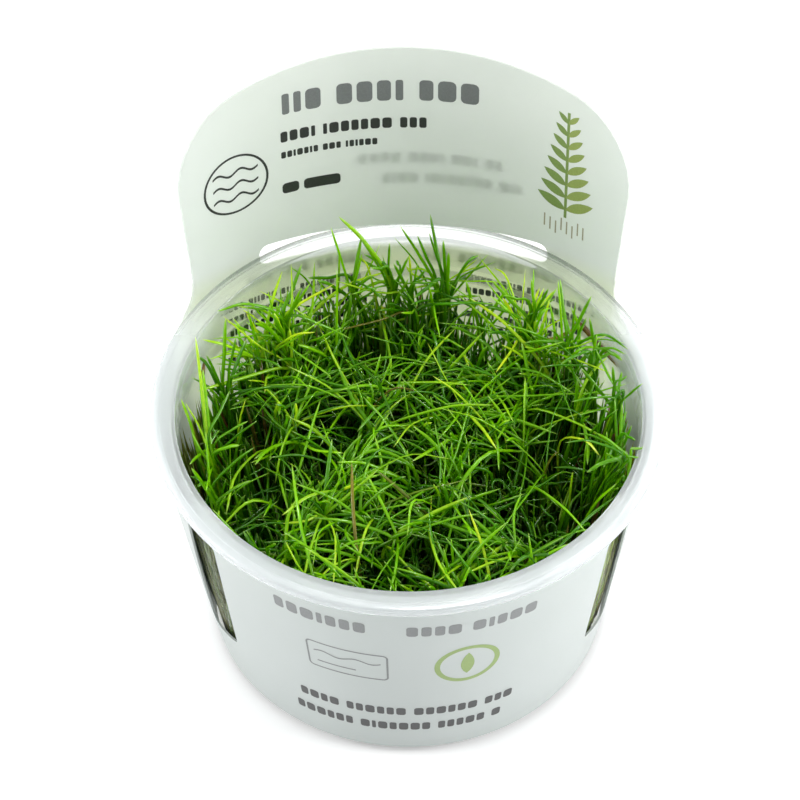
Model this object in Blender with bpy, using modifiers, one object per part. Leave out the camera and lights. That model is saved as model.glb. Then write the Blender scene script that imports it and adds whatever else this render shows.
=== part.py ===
"""A pot of dwarf hairgrass grown in a plastic cup.

A tapered clear cup with a broad flange holds a disc of clear growing gel, and tufts of fine green blades stand in
the gel. A white plastic sleeve goes round the cup: low in front, with a window in each side, and with a tall panel
at the back. The back of the flange passes through a slot in the panel.

Metres, +Z up. The origin is the middle of the cup's underside, the front faces -Y and the panel stands at +Y.
"""

import math
import random

import bmesh
import bpy
import numpy as np
from mathutils import Matrix, Vector

NAME = "dwarf_hairgrass_pot"

# Cup
CUP_HEIGHT = 0.0590
FLANGE_RADIUS = 0.0500
FLANGE_THICKNESS = 0.0009
FLANGE_LIP = 0.0017  # depth of the turned-down edge
OPENING_RADIUS = 0.0452
SEAT_DEPTH = 0.0094  # from the rim down to the ledge that a lid or a stacked cup rests on
FOOT_RADIUS = 0.0393
TAPER = 0.122  # growth of the wall's radius for each metre of height
WALL = 0.0008
FLOOR = 0.0010
CUP_STEPS = 48

# Growing gel
GEL_TOP = 0.0120
GAP = 0.0003

# Sleeve: u runs along the sheet from the middle of its back, z up
SHEET = 0.00045
SLEEVE_FOOT = 0.0019
SLEEVE_RADIUS = 0.03965  # of the inner face, produced down to z = 0
SLEEVE_TAPER = 0.127
SLEEVE_TOP = 0.0560
SLEEVE_TURN = math.radians(1.4)
SLEEVE_ASKEW = 0.0166  # the panel stands this much higher on its left for each metre along it
UNROLLED_RADIUS = 0.0460
HALF_LENGTH = math.pi * UNROLLED_RADIUS
PANEL_TOP = 0.1047
PANEL_HALF_FOOT = 0.0450
PANEL_FLARE = 0.09  # growth of the panel's half width for each metre of height
PANEL_FOOT_FILLET = 0.0025
PANEL_ARCH_RADIUS = 0.1280
PANEL_ARCH_HALF = 0.0315
ARCH_STEPS = 8
PANEL_SHOULDER_FILLET = 0.0182
PANEL_CURVE_RADIUS = 0.0700
PANEL_BACK = 0.0475  # the inner face behind the axis, at the height of the rim
PANEL_LEAN = 0.09
SLOT_HALF_LENGTH = 0.0300
SLOT_BOTTOM = 0.0550
SLOT_TOP = 0.0602
SLOT_FILLET = 0.0021
WINDOW = ((0.0876, 0.0100), (0.1006, 0.0155), (0.1026, 0.0500), (0.0936, 0.0500))  # u, z of its corners
WINDOW_FILLET = 0.0018
SHEET_COLUMNS = 62
SHEET_ROW = 0.0125
FREE_FROM = 0.0500  # above this height the back of the sheet keeps its own curve
SIDE_BULGE = {-1: 0.0029, 1: 0.0016}  # how far each side stands off the cup, and where it lies on it again
BULGE_REACH = {-1: math.radians(135.0), 1: math.radians(112.0)}
BULGE_FALL = 10  # how quickly the panel's own stand-off is lost beside the panel

# Tufts
TUFTS = 24
TUFT_SPREAD = 0.0344
TUFT_LEAN = 1.6  # how much farther apart the tufts stand for each metre of height
TUFT_SIDES = 8
TUFT_RINGS = ((0.0, 0.0026), (0.0120, 0.0046), (0.0220, 0.0053))  # height over the gel, radius
TUFT_CROWN = (0.0250, 0.0028)
BLADE_STEPS = 3
BLADE_CLEARANCE = 0.0004
CANOPY = 0.0500
CANOPY_SLOPE = 0.06  # the front stands higher than the back
BLADE_HALF_WIDTH = 0.0010
BLADE_REACH = (0.004, 0.015)  # how far a blade's tip lies from its tuft
BLADE_BOW = (0.55, 0.95)  # how much of its height a blade rises before it leans over
BLADE_SWING = 0.5
TIP_BAND = (-0.006, 0.0015)  # height of the tips over the canopy
TIP_FROM_WALL = 0.0016
TALL_BOW = 0.62
TALL_PER_TUFT = 2
TRIES = 400
SEED = 31

# The tips of the longest blades, which stand over the rim
TALL_TIPS = (
    (-0.0145, 0.0418, 0.0690),
    (-0.0104, 0.0398, 0.0650),
    (-0.0021, 0.0420, 0.0660),
    (0.0041, 0.0420, 0.0640),
    (0.0144, 0.0396, 0.0615),
    (0.0297, 0.0298, 0.0640),
    (0.0367, 0.0262, 0.0630),
    (0.0432, 0.0130, 0.0625),
    (0.0451, 0.0040, 0.0620),
    (0.0436, -0.0115, 0.0615),
    (-0.0386, 0.0230, 0.0625),
    (-0.0413, 0.0170, 0.0610),
    (-0.0450, 0.0034, 0.0620),
    (-0.0450, -0.0130, 0.0620),
    (-0.0305, -0.0300, 0.0575),
)


def clear_scene():
    for obj in list(bpy.data.objects):
        bpy.data.objects.remove(obj, do_unlink=True)


def new_collection(name):
    collection = bpy.data.collections.new(name)
    bpy.context.scene.collection.children.link(collection)
    return collection


def new_material(name, colour, roughness, transmission=0.0, ior=1.45):
    material = bpy.data.materials.new(name)
    material.use_nodes = True
    material.diffuse_color = (*colour, 1.0)
    shader = material.node_tree.nodes["Principled BSDF"]
    shader.inputs["Base Color"].default_value = (*colour, 1.0)
    shader.inputs["Roughness"].default_value = roughness
    shader.inputs["Metallic"].default_value = 0.0
    shader.inputs["Transmission Weight"].default_value = transmission
    shader.inputs["IOR"].default_value = ior
    return material


def new_object(name, mesh, material, collection, smooth_angle=None):
    obj = bpy.data.objects.new(name, mesh)
    collection.objects.link(obj)
    mesh.materials.clear()
    mesh.materials.append(material)
    if smooth_angle is not None:
        mesh.shade_smooth()
        mesh.set_sharp_from_angle(angle=smooth_angle)
    return obj


def evaluated_mesh(obj):
    """The object's mesh with its modifiers applied, in world space, and the object removed."""
    graph = bpy.context.evaluated_depsgraph_get()
    mesh = bpy.data.meshes.new_from_object(obj.evaluated_get(graph))
    mesh.transform(obj.matrix_world)
    bpy.data.objects.remove(obj, do_unlink=True)
    return mesh


def turned(name, profile, steps, material, collection):
    """A turned solid. The profile runs from the axis up, over and down the outside back to the axis."""
    mesh = bpy.data.meshes.new(name)
    points = [(r, 0.0, z) for r, z in profile]
    mesh.from_pydata(points, [(i, i + 1) for i in range(len(points) - 1)], [])
    obj = new_object(name, mesh, material, collection)
    screw = obj.modifiers.new("Screw", "SCREW")
    screw.angle = math.tau
    screw.steps = steps
    screw.render_steps = steps
    screw.use_merge_vertices = True
    screw.merge_threshold = 0.00001
    screw.use_smooth_shade = True
    return obj


def wall_radius(z):
    """The outer radius of the cup's lower wall."""
    return FOOT_RADIUS + TAPER * z


def make_cup(material, collection):
    ledge = CUP_HEIGHT - SEAT_DEPTH
    seat_out = OPENING_RADIUS + WALL
    seat_draft = 0.0003
    under = CUP_HEIGHT - FLANGE_THICKNESS
    lip_in = FLANGE_RADIUS - FLANGE_THICKNESS * 0.8
    edge = 0.0005
    profile = [
        (0.0, FLOOR),
        (wall_radius(0) - WALL - 0.0012, FLOOR),
        (wall_radius(0) - WALL - 0.0002, FLOOR + 0.0004),
        (wall_radius(0.0024) - WALL, 0.0024),
        (wall_radius(ledge - edge) - WALL, ledge - edge),
        (OPENING_RADIUS - seat_draft, ledge),
        (OPENING_RADIUS, CUP_HEIGHT - 0.0007),
        (OPENING_RADIUS + 0.0002, CUP_HEIGHT - 0.0002),
        (OPENING_RADIUS + 0.0007, CUP_HEIGHT),
        (FLANGE_RADIUS - 0.0009, CUP_HEIGHT),
        (FLANGE_RADIUS - 0.0003, CUP_HEIGHT - 0.0002),
        (FLANGE_RADIUS, CUP_HEIGHT - 0.0007),
        (FLANGE_RADIUS, CUP_HEIGHT - FLANGE_LIP),
        (lip_in, CUP_HEIGHT - FLANGE_LIP),
        (lip_in - 0.0002, under),
        (seat_out, under),
        (seat_out - seat_draft, ledge + 0.0006),
        (wall_radius(ledge), ledge - 0.0002),
        (wall_radius(0.0008), 0.0008),
        (FOOT_RADIUS - 0.0006, 0.0),
        (0.0, 0.0),
    ]
    return turned("cup", profile, CUP_STEPS, material, collection)


def inner_radius(z):
    """The radius of the cup's inside at a height."""
    if z < CUP_HEIGHT - SEAT_DEPTH:
        return wall_radius(z) - WALL
    return OPENING_RADIUS - 0.0003


def make_gel(material, collection):
    """The gel, with the small upturned edge that it leaves on the wall."""
    low = FLOOR + GAP
    profile = [
        (0.0, GEL_TOP),
        (inner_radius(GEL_TOP) - 0.0030, GEL_TOP),
        (inner_radius(GEL_TOP) - GAP - 0.0008, GEL_TOP + 0.0004),
        (inner_radius(GEL_TOP) - GAP, GEL_TOP + 0.0012),
        (inner_radius(0.0027) - GAP, 0.0027),
        (inner_radius(low) - GAP - 0.0014, low),
        (0.0, low),
    ]
    return turned("growth_medium", profile, CUP_STEPS, material, collection)


def rounded(corners, steps=5):
    """A closed outline from (u, z, fillet) corners, with each corner turned into an arc."""
    points = []
    for i, (u, z, fillet) in enumerate(corners):
        here = Vector((u, z))
        if fillet == 0:
            points.append(here)
            continue
        before = (Vector(corners[i - 1][:2]) - here).normalized()
        after = (Vector(corners[(i + 1) % len(corners)][:2]) - here).normalized()
        half = before.angle(after) / 2
        middle = here + (before + after).normalized() * fillet / math.sin(half)
        start = here + before * fillet / math.tan(half) - middle
        end = here + after * fillet / math.tan(half) - middle
        turn = start.angle_signed(end)
        for k in range(steps + 1):
            points.append(middle + start.copy() @ Matrix.Rotation(turn * k / steps, 2))
    return points


def panel_outline():
    """The sheet's outer edge: the band round the cup, with the arched panel standing on its middle."""
    end = PANEL_ARCH_HALF
    drop = end * end / 2 / PANEL_ARCH_RADIUS
    slope = end / PANEL_ARCH_RADIUS
    rise = PANEL_TOP - drop - SLEEVE_TOP
    shoulder_z = SLEEVE_TOP + (rise - slope * (PANEL_HALF_FOOT - end)) / (1 + slope * PANEL_FLARE)
    shoulder_u = PANEL_HALF_FOOT + PANEL_FLARE * (shoulder_z - SLEEVE_TOP)
    arch = [end * (1 - 2 * k / ARCH_STEPS) for k in range(ARCH_STEPS + 1)]
    top = [(u, PANEL_TOP - u * u / 2 / PANEL_ARCH_RADIUS, 0.0) for u in arch]
    past = HALF_LENGTH * 1.1
    right = [(past, SLEEVE_FOOT, 0.0), (past, SLEEVE_TOP, 0.0)]
    right += [(PANEL_HALF_FOOT, SLEEVE_TOP, PANEL_FOOT_FILLET), (shoulder_u, shoulder_z, PANEL_SHOULDER_FILLET)]
    left = [(-u, z, fillet) for u, z, fillet in reversed(right)]
    return rounded(right + top + left)


def slot_outline():
    long = SLOT_HALF_LENGTH
    corners = [(-long, SLOT_BOTTOM), (long, SLOT_BOTTOM), (long, SLOT_TOP), (-long, SLOT_TOP)]
    return rounded([(u, z, SLOT_FILLET) for u, z in corners])


def window_outline(side):
    return rounded([(side * u, z, WINDOW_FILLET) for u, z in WINDOW[::side]])


def flat_prism(outlines, collection):
    """A slab thicker than the sheet with the given outline and holes, lying in the XY plane."""
    curve = bpy.data.curves.new("outline", "CURVE")
    curve.dimensions = "2D"
    curve.fill_mode = "BOTH"
    curve.extrude = SHEET
    for outline in outlines:
        spline = curve.splines.new("POLY")
        spline.points.add(len(outline) - 1)
        for point, (u, z) in zip(spline.points, outline):
            point.co = (u, z, 0.0, 1.0)
        spline.use_cyclic_u = True
    obj = bpy.data.objects.new("outline", curve)
    collection.objects.link(obj)
    mesh = evaluated_mesh(obj)
    bm = bmesh.new()
    bm.from_mesh(mesh)
    bmesh.ops.remove_doubles(bm, verts=bm.verts, dist=0.000001)
    bmesh.ops.recalc_face_normals(bm, faces=bm.faces)
    bm.to_mesh(mesh)
    bm.free()
    cutter = bpy.data.objects.new("sheet_outline", mesh)
    collection.objects.link(cutter)
    cutter.hide_render = True
    cutter.display_type = "WIRE"
    return cutter


def arc_place(u, z):
    """The azimuth from the back and the radius of the panel's inner face at u and z."""
    back = PANEL_BACK + PANEL_LEAN * (z - CUP_HEIGHT)
    angle = u / PANEL_CURVE_RADIUS
    x = PANEL_CURVE_RADIUS * math.sin(angle)
    y = back - PANEL_CURVE_RADIUS * (1 - math.cos(angle))
    return math.atan2(x, y), math.hypot(x, y)


def bulge_beside(side, azimuth, start, stand_off):
    """How far the band stands off the cup beside the panel, falling from the panel's own stand-off to nothing."""
    gone = (abs(azimuth) - abs(start)) / (BULGE_REACH[side] - abs(start))
    gone = min(max(gone, 0.0), 1.0)
    own = SIDE_BULGE[side]
    return (stand_off - own) * (1 - gone) ** BULGE_FALL + own * (1 - gone**2) ** 1.5


def wrap(u, z, out):
    """The place of a flat point of the sheet, out being its distance from the inner face.

    Low down the sheet lies on the cup's cone. Higher up its back is flatter than the cup, so that its sides stand
    off the wall and pass outside the flange, and it comes back to the cone towards the front.
    """
    side = -1 if u < 0 else 1
    low = min(max((z - SLEEVE_FOOT) / (FREE_FROM - SLEEVE_FOOT), 0.0), 1.0)
    free = math.sin(math.pi / 2 * low)
    cone_azimuth = u / UNROLLED_RADIUS
    cone_radius = SLEEVE_RADIUS + SLEEVE_TAPER * z
    edge = PANEL_HALF_FOOT
    if abs(u) <= edge or z > SLEEVE_TOP + PANEL_FOOT_FILLET / 2:
        azimuth, radius = arc_place(u, z)
        bulge = radius - cone_radius
    else:
        start, radius = arc_place(side * edge, z)
        azimuth = start + side * (abs(u) - edge) / (HALF_LENGTH - edge) * (math.pi - abs(start))
        bulge = bulge_beside(side, azimuth, start, radius - cone_radius)
    azimuth = cone_azimuth + free * (azimuth - cone_azimuth)
    radius = cone_radius + free * bulge + out
    x = radius * math.sin(azimuth)
    return Vector((x, radius * math.cos(azimuth), z - free * SLEEVE_ASKEW * x))


def crease(bm, point, normal):
    """Splits every face that crosses a plane, so that the flat sheet can bend there."""
    bmesh.ops.bisect_plane(bm, geom=[*bm.verts, *bm.edges, *bm.faces], dist=0.000001, plane_co=point, plane_no=normal)


def make_sleeve(material, collection, cutters):
    """The sheet is cut flat, from a slab with a grid of faces that lets it bend, and then wrapped round the cup."""
    rows = math.ceil(PANEL_TOP / SHEET_ROW) + 1
    bm = bmesh.new()
    bmesh.ops.create_grid(bm, x_segments=SHEET_COLUMNS, y_segments=rows, size=0.5)
    for vert in bm.verts:
        vert.co.x *= 2 * HALF_LENGTH
        vert.co.y = (vert.co.y + 0.5) * rows * SHEET_ROW
        vert.co.z = -SHEET / 2
    flat = bpy.data.meshes.new("sleeve")
    bm.to_mesh(flat)
    bm.free()
    slab = new_object("sleeve_slab", flat, material, collection)
    solidify = slab.modifiers.new("Solidify", "SOLIDIFY")
    solidify.thickness = SHEET
    solidify.offset = 1.0
    outlines = [panel_outline(), slot_outline(), window_outline(-1), window_outline(1)]
    cutter = flat_prism(outlines, cutters)
    cut = slab.modifiers.new("Outline", "BOOLEAN")
    cut.operation = "INTERSECT"
    cut.solver = "EXACT"
    cut.object = cutter
    mesh = evaluated_mesh(slab)

    bm = bmesh.new()
    bm.from_mesh(mesh)
    ends = [f for f in bm.faces if all(abs(v.co.x) > HALF_LENGTH - 0.00001 for v in f.verts)]
    bmesh.ops.delete(bm, geom=ends, context="FACES")
    for column in range(1, SHEET_COLUMNS):
        crease(bm, (HALF_LENGTH * (2 * column / SHEET_COLUMNS - 1), 0, 0), (1, 0, 0))
    for row in range(1, rows):
        crease(bm, (0, row * SHEET_ROW, 0), (0, 1, 0))
    turn = Matrix.Rotation(SLEEVE_TURN, 3, "Z")
    for vert in bm.verts:
        vert.co = turn @ wrap(vert.co.x, vert.co.y, vert.co.z + SHEET / 2)
    bmesh.ops.remove_doubles(bm, verts=bm.verts, dist=0.00002)
    bmesh.ops.recalc_face_normals(bm, faces=bm.faces)
    bm.to_mesh(mesh)
    bm.free()
    mesh.name = "sleeve"
    return new_object("sleeve", mesh, material, collection, math.radians(40))


def tuft_places():
    """The tufts' roots, spread evenly over the gel in a sunflower pattern."""
    golden = math.pi * (3 - math.sqrt(5))
    places = []
    for i in range(TUFTS):
        radius = TUFT_SPREAD * math.sqrt((i + 0.5) / TUFTS)
        places.append(Vector((radius * math.cos(i * golden), radius * math.sin(i * golden), GEL_TOP + GAP)))
    return places


def blade_path(root, out, tip, lift):
    """Points of a blade that rises from its root and bows over to its tip."""
    bend = root + Vector((0, 0, (tip.z - root.z) * lift)) + out * BLADE_HALF_WIDTH * 2
    path = []
    for k in range(BLADE_STEPS + 1):
        t = k / BLADE_STEPS
        path.append(root * (1 - t) ** 2 + bend * 2 * t * (1 - t) + tip * t * t)
    return path


def samples(path):
    """Points close together along a path, each with the blade's half width there."""
    point = 0.0001
    spots = []
    for k, (a, b) in enumerate(zip(path, path[1:])):
        for part in range(3):
            t = (k + part / 3) / BLADE_STEPS
            spots.append((*a.lerp(b, part / 3), BLADE_HALF_WIDTH * 1.2 * (1 - t) + point))
    spots.append((*path[-1], point))
    return np.array(spots)


def clear_of(spots, others):
    """Whether a blade keeps its distance from the blades of the other tufts and from the cup."""
    radii = np.hypot(spots[:, 0], spots[:, 1])
    for radius, z, half in zip(radii, spots[:, 2], spots[:, 3]):
        if z < CUP_HEIGHT + half + BLADE_CLEARANCE and radius > inner_radius(z) - half - BLADE_CLEARANCE:
            return False
    if not others:
        return True
    rest = np.concatenate(others)
    apart = np.linalg.norm(spots[:, None, :3] - rest[None, :, :3], axis=2)
    between_spots = BLADE_HALF_WIDTH * 0.6
    return bool((apart > spots[:, None, 3] + rest[None, :, 3] + BLADE_CLEARANCE + between_spots).all())


def leaning(place, height):
    """The middle of a tuft at a height over its root: the tufts lean away from the middle of the pot."""
    spread = 1 + TUFT_LEAN * height
    return Vector((place.x * spread, place.y * spread, place.z + height))


def clump_samples(place):
    """Round spots that fill a tuft's lower part, for keeping other blades out of it."""
    spots = []
    for (low, wide), (high, wider) in zip(TUFT_RINGS, TUFT_RINGS[1:] + (TUFT_CROWN,)):
        for part in range(4):
            t = part / 4
            spots.append((*leaning(place, low + (high - low) * t), wide + (wider - wide) * t))
    return np.array(spots)


def canopy(x, y):
    return CANOPY - CANOPY_SLOPE * y


def choose_tip(rng, place, out):
    """A tip out from the root's tuft, near the canopy's height and inside the cup."""
    reach = rng.uniform(*BLADE_REACH)
    spot = place + out * reach
    spot.z = canopy(spot.x, spot.y) + rng.uniform(*TIP_BAND)
    limit = inner_radius(spot.z) - TIP_FROM_WALL
    wide = math.hypot(spot.x, spot.y)
    if wide > limit:
        spot.x *= limit / wide
        spot.y *= limit / wide
        spot.z += 0.004
    return spot


def tall_tips_of(places):
    """The tall tips that each tuft takes, by the nearest root."""
    taken = {i: [] for i in range(len(places))}
    for tip in (Vector(t) for t in TALL_TIPS):
        near = sorted(range(len(places)), key=lambda i: (places[i].xy - tip.xy).length)
        pick = next(i for i in near if len(taken[i]) < TALL_PER_TUFT)
        taken[pick].append(tip)
    return taken


def grow(bm, face, path, half):
    """Draws a blade out of a face: the face's ring is carried along the path and narrows to a point."""
    ring = bmesh.ops.extrude_discrete_faces(bm, faces=[face])["faces"][0]
    for k in range(1, BLADE_STEPS + 1):
        centre = ring.calc_center_median()
        ahead = (path[min(k + 1, BLADE_STEPS)] - path[k - 1]).normalized()
        turn = ring.normal.rotation_difference(ahead).to_matrix()
        size = max((v.co - centre).length for v in ring.verts)
        scale = half * (1 - (k / BLADE_STEPS) ** 1.6) / size
        for vert in ring.verts:
            vert.co = path[k] + turn @ (vert.co - centre) * scale
        ring.normal_update()
        if k < BLADE_STEPS:
            ring = bmesh.ops.extrude_discrete_faces(bm, faces=[ring])["faces"][0]
    bmesh.ops.pointmerge(bm, verts=ring.verts, merge_co=path[-1])


def make_tuft(index, place, tips, rng, others, material, collection):
    """A clump of leaf bases that widens upwards, with a blade drawn out of each face round its top."""
    bm = bmesh.new()
    rings = []
    for height, radius in TUFT_RINGS + (TUFT_CROWN,):
        ring = []
        for k in range(TUFT_SIDES):
            angle = math.tau * k / TUFT_SIDES + index
            ridge = radius * (1.0 if k % 2 else 0.86)
            rim = Vector((ridge * math.cos(angle), ridge * math.sin(angle), 0))
            ring.append(bm.verts.new(leaning(place, height) + rim))
        rings.append(ring)
    bm.faces.new(rings[0][::-1])
    sides = []
    for low, high in zip(rings, rings[1:]):
        for k in range(TUFT_SIDES):
            n = (k + 1) % TUFT_SIDES
            sides.append(bm.faces.new((low[k], low[n], high[n], high[k])))
    middle = bm.faces.new(rings[-1])
    bm.normal_update()
    shoulder = sides[-TUFT_SIDES:]
    own = []
    tall = list(tips)
    for face in [*shoulder, middle]:
        root = face.calc_center_median()
        out = Vector((root.x - place.x, root.y - place.y, 0))
        if out.length < BLADE_HALF_WIDTH / 2:
            out = Vector((rng.uniform(-1, 1), rng.uniform(-1, 1), 0))
        out.normalize()
        for attempt in range(TRIES):
            if tall and attempt == 0:
                best = max(tall, key=lambda t: (t.xy - place.xy).normalized().dot(out.xy))
                if (best.xy - place.xy).normalized().dot(out.xy) < 0.3 and face is not middle:
                    continue
                tip, lift = best, TALL_BOW
            else:
                swing = Matrix.Rotation(rng.uniform(-BLADE_SWING, BLADE_SWING), 3, "Z")
                best = None
                tip, lift = choose_tip(rng, place, swing @ out), rng.uniform(*BLADE_BOW)
            path = blade_path(root, out, tip, lift)
            spots = samples(path)
            if clear_of(spots, others):
                if best is not None:
                    tall.remove(best)
                own.append(spots)
                grow(bm, face, path, BLADE_HALF_WIDTH)
                break
    bmesh.ops.recalc_face_normals(bm, faces=bm.faces)
    mesh = bpy.data.meshes.new(f"tuft_{index + 1:02d}")
    bm.to_mesh(mesh)
    bm.free()
    obj = new_object(mesh.name, mesh, material, collection)
    return obj, own


def make_tufts(material, collection):
    rng = random.Random(SEED)
    places = tuft_places()
    tips = tall_tips_of(places)
    clumps = [clump_samples(place) for place in places]
    grown = []
    for i, place in enumerate(places):
        others = [clump for k, clump in enumerate(clumps) if k != i] + grown
        _, own = make_tuft(i, place, tips[i], rng, others, material, collection)
        grown += own


def main():
    clear_scene()
    parts = new_collection(NAME)
    cutters = new_collection("cutters")
    clear_plastic = new_material("clear_plastic", (0.93, 0.96, 0.95), 0.12, 0.9, 1.49)
    white_sheet = new_material("white_sheet", (0.86, 0.89, 0.88), 0.35)
    gel = new_material("gel", (0.42, 0.45, 0.20), 0.10, 0.6, 1.34)
    grass = new_material("grass", (0.16, 0.42, 0.02), 0.38)
    make_cup(clear_plastic, parts)
    make_gel(gel, parts)
    make_sleeve(white_sheet, parts, cutters)
    make_tufts(grass, parts)


main()
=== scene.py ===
"""Dwarf hairgrass in its cup: the fine grass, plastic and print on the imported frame."""

import math
import random

import bmesh
import bpy
import numpy as np
from mathutils import Matrix, Vector


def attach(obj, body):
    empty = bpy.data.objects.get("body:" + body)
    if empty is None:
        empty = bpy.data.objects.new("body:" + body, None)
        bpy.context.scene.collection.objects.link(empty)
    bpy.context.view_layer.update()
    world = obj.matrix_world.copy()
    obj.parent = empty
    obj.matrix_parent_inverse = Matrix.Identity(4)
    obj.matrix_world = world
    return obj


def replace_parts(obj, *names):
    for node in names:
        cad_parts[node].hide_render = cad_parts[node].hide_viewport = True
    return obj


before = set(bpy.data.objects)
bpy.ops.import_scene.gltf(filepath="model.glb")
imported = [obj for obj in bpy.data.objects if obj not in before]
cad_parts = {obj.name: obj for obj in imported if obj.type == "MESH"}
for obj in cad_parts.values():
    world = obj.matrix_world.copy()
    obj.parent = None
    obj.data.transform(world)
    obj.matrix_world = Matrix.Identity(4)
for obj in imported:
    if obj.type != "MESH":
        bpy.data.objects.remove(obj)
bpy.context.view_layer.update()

# ---- sizes shared with the frame, in metres
RIM = 0.0590  # the flange's top
FLANGE = 0.0500  # the flange's radius
OPENING = 0.0452  # the mouth's radius
LEDGE = 0.0496  # the height of the ledge in the mouth
FOOT = 0.0393  # the wall's outer radius at the floor
TAPER = 0.122  # how much wider it gets with height
WALL = 0.0008
THIN_WALL = 0.0004  # the wall as it is drawn
GEL = 0.0120
SHEET = 0.00045
SLEEVE_FOOT = 0.0019
SLEEVE_TOP = 0.0560
SLEEVE_RADIUS = 0.03965
SLEEVE_TAPER = 0.127
SLEEVE_FREE = 0.0500  # from this height up, the sheet has left its cone altogether
TURN = math.radians(1.4)
ASKEW = 0.0166
UNROLLED = 0.0460  # the radius of the ring that the flat sheet makes
HALF = math.pi * UNROLLED
PANEL_TOP = 0.1047
PANEL_FOOT = 0.0450
PANEL_FLARE = 0.09
PANEL_CURVE = 0.0700
PANEL_BACK = 0.0475
PANEL_LEAN = 0.09
PANEL_FILLET = 0.0025
SIDE_BULGE = {-1: 0.0029, 1: 0.0016}
BULGE_START = math.radians(37.0)
BULGE_REACH = {-1: math.radians(135.0), 1: math.radians(112.0)}
SLOT = (-0.03, 0.0550, 0.03, 0.0602)  # left, low, right, high
SLOT_FILLET = 0.0021
WINDOW = ((0.0876, 0.0100), (0.1006, 0.0155), (0.1026, 0.0500), (0.0936, 0.0500))
WINDOW_FILLET = 0.0018
WINDOW_TURN = math.radians(118.0)  # from the back to the window's middle
WALL_ROWS = [0.004 * k for k in range(1, 12)]
TUFTS = 24
TUFT_SPREAD = 0.0344
TUFT_RADIUS = 0.0052
LOOSE_BLADES = 9

rng = random.Random(7)


def part(value, low, high):
    """How far a value has come from low to high, from 0 to 1."""
    return min(max((value - low) / (high - low), 0.0), 1.0)


def wall(z):
    return FOOT + TAPER * z


def freed(z):
    """How far the sheet has left its cone at a height, from 0 to 1."""
    return math.sin(math.pi / 2 * part(z, SLEEVE_FOOT, SLEEVE_FREE))


def swell(azimuth, z):
    """How far the soft wall gives outwards against the loose sides of its sleeve; azimuth from the back."""
    side = -1 if azimuth < 0 else 1
    turn = abs(azimuth)
    gone = part(turn, BULGE_START, BULGE_REACH[side])
    loose = SIDE_BULGE[side] * (1 - gone**2) ** 1.5 * freed(z)
    slack = SLEEVE_RADIUS - FOOT + (SLEEVE_TAPER - TAPER) * z
    fade, ends = math.radians(22.0), 0.006
    near = part(turn - math.radians(62.0), 0.0, fade) * part(math.radians(150.0) - turn, 0.0, fade)
    return 0.85 * near * max(min(z / ends, (LEDGE - z) / ends, 1.0), 0.0) * (loose + slack)


def inside(z):
    """The radius of the cup's inner face at a height."""
    return wall(z) - THIN_WALL if z < LEDGE else OPENING - 0.0003


# ---- materials


class Look:
    """A node tree under construction. Each method adds a node and gives back its output."""

    def __init__(self, tree):
        self.tree = tree

    def add(self, kind, sets=None, out=0, **own):
        """own are the node's own settings; sets are its inputs, each a value or another node's output."""
        made = self.tree.nodes.new("ShaderNode" + kind)
        for key, value in own.items():
            setattr(made, key, value)
        for key, value in (sets or {}).items():
            if isinstance(value, bpy.types.NodeSocket):
                self.tree.links.new(value, made.inputs[key])
            else:
                made.inputs[key].default_value = value
        return made.outputs[out] if len(made.outputs) else None

    def ramp(self, source, *stops):
        made = self.tree.nodes.new("ShaderNodeValToRGB")
        band = made.color_ramp
        while len(band.elements) < len(stops):
            band.elements.new(0.5)
        for element, (at, colour) in zip(band.elements, stops):
            element.position = at
            element.color = (*colour, 1.0)
        self.tree.links.new(source, made.inputs["Fac"])
        return made.outputs["Color"]

    def greys(self, source, *stops):
        return self.ramp(source, *((at, (grey,) * 3) for at, grey in stops))

    def noise(self, scale, detail):
        sets = {"Vector": self.add("TexCoord", out="Object"), "Scale": scale, "Detail": detail}
        return self.add("TexNoise", sets)

    def axis(self, name):
        """One coordinate of the shaded point, in metres."""
        return self.add("SeparateXYZ", {0: self.add("NewGeometry", out="Position")}, name)

    def length(self, vector):
        return self.add("VectorMath", {0: vector}, "Value", operation="LENGTH")

    def span(self, source, low, high, to_low=0.0, to_high=1.0):
        """Turns low to high into to_low to to_high, and keeps those beyond the ends."""
        ends = {"From Min": low, "From Max": high, "To Min": to_low, "To Max": to_high}
        return self.add("MapRange", {"Value": source, **ends})

    def product(self, first, second):
        return self.add("Math", {0: first, 1: second}, operation="MULTIPLY")

    def mix(self, first, second, factor=1.0, kind="MIX"):
        sets = {"Factor": factor, "A": first, "B": second}
        return self.add("Mix", sets, "Result", data_type="RGBA", blend_type=kind)

    def times(self, first, second):
        return self.mix(first, second, kind="MULTIPLY")

    def gloss(self, colour, rough, relief=None, **sets):
        """The main shader. relief is a height with its strength and its depth in metres."""
        sets = {"Base Color": colour, "Roughness": rough, **sets}
        if relief:
            sets["Normal"] = self.add("Bump", dict(zip(("Height", "Strength", "Distance"), relief)))
        return self.add("BsdfPrincipled", sets)

    def surface(self, shader):
        self.add("OutputMaterial", {"Surface": shader})

    def blended(self, share, first, second):
        return self.add("MixShader", {0: share, 1: first, 2: second})

    def see_through(self, shader, clear, film=None):
        """Lets part of the light pass straight through, as thin clear plastic does."""
        if film is not None:
            shader = self.blended(film, shader, self.add("BsdfTransparent", {"Color": FILM_COLOUR}))
        passed = self.add("BsdfTransparent", {"Color": (clear, clear, clear, 1.0)})
        self.surface(self.blended(self.add("LightPath", out="Is Shadow Ray"), shader, passed))


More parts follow.
